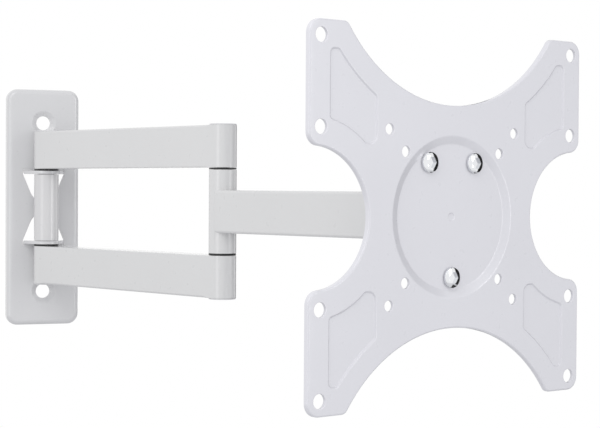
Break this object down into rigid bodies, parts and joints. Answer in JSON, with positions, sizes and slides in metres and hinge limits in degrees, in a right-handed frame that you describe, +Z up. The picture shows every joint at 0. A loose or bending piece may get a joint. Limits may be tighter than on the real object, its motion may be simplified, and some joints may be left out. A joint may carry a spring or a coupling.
{
  "type": "tilt and swivel tv wall mount",
  "caption": "White wall mount for a television: a pressed wall plate, parallel links, a swinging forearm and a tilting, swivelling X-shaped plate.",
  "frame": {"origin": "middle of the wall plate's back, in the plane of the wall and on the wall pivot's middle height", "axes": "+X to the right along the wall as seen from the room, -Y out from the wall towards the television, +Z up"},
  "size_m": [0.2938, 0.4429, 0.2176],
  "materials": {
    "white_paint": "satin white powder coat",
    "white_plastic": "white moulded plastic",
    "black_nylon": "black nylon",
    "zinc_steel": "zinc plated",
    "chrome": "bright plated"
  },
  "bodies": {
    "wall": {"wall_plate": "white_paint", "wall_barrel": "white_paint", "wall_bush_upper": "black_nylon", "wall_bush_lower": "black_nylon"},
    "links": {"link_upper_tube": "white_paint", "link_upper_wall_sleeve": "white_paint", "link_upper_elbow_sleeve": "white_paint", "link_upper_wall_cap": "white_plastic", "link_upper_elbow_cap": "white_plastic", "link_lower_tube": "white_paint", "link_lower_wall_sleeve": "white_paint", "link_lower_elbow_sleeve": "white_paint", "link_lower_wall_cap": "white_plastic", "link_lower_elbow_cap": "white_plastic", "wall_pivot_bolt": "zinc_steel", "wall_pivot_nut": "zinc_steel", "elbow_pivot_bolt": "zinc_steel", "elbow_pivot_nut": "zinc_steel"},
    "forearm": {"elbow_knuckle": "white_paint", "forearm_tube": "white_paint", "head_knuckle": "white_paint", "elbow_bush_upper": "black_nylon", "elbow_bush_lower": "black_nylon", "head_bush_upper": "black_nylon", "head_bush_lower": "black_nylon"},
    "yoke": {"swivel_yoke": "white_paint", "head_pivot_bolt": "zinc_steel", "head_pivot_nut": "zinc_steel", "tilt_spacer": "zinc_steel"},
    "head": {"tilt_bracket": "white_paint", "mount_disc": "white_paint", "tilt_bolt": "zinc_steel", "tilt_nut": "zinc_steel", "friction_washer_left": "black_nylon", "friction_washer_right": "black_nylon", "vesa_plate": "white_paint", "plate_screw_1": "chrome", "plate_screw_2": "chrome", "plate_screw_3": "chrome", "plate_nut_1": "zinc_steel", "plate_nut_2": "zinc_steel", "plate_nut_3": "zinc_steel"}
  },
  "joints": [
    {"name": "wall_swivel", "type": "hinge", "parent": "wall", "child": "links", "pos_m": [0, -0.0206, 0], "axis": [0, 0, 1], "range_deg": [-113.6, 66.4]},
    {"name": "elbow_swivel", "type": "hinge", "parent": "links", "child": "forearm", "pos_m": [0.08387, -0.21258, 0], "axis": [0, 0, 1], "range_deg": [-109.5, 110.5]},
    {"name": "head_swivel", "type": "hinge", "parent": "forearm", "child": "yoke", "pos_m": [0.14508, -0.35607, 0], "axis": [0, 0, 1], "range_deg": [-79.5, 90.5]},
    {"name": "head_tilt", "type": "hinge", "parent": "yoke", "child": "head", "pos_m": [0.15445, -0.38562, 0], "axis": [0.9532, 0.3024, 0], "range_deg": [-15, 15]}
  ]
}
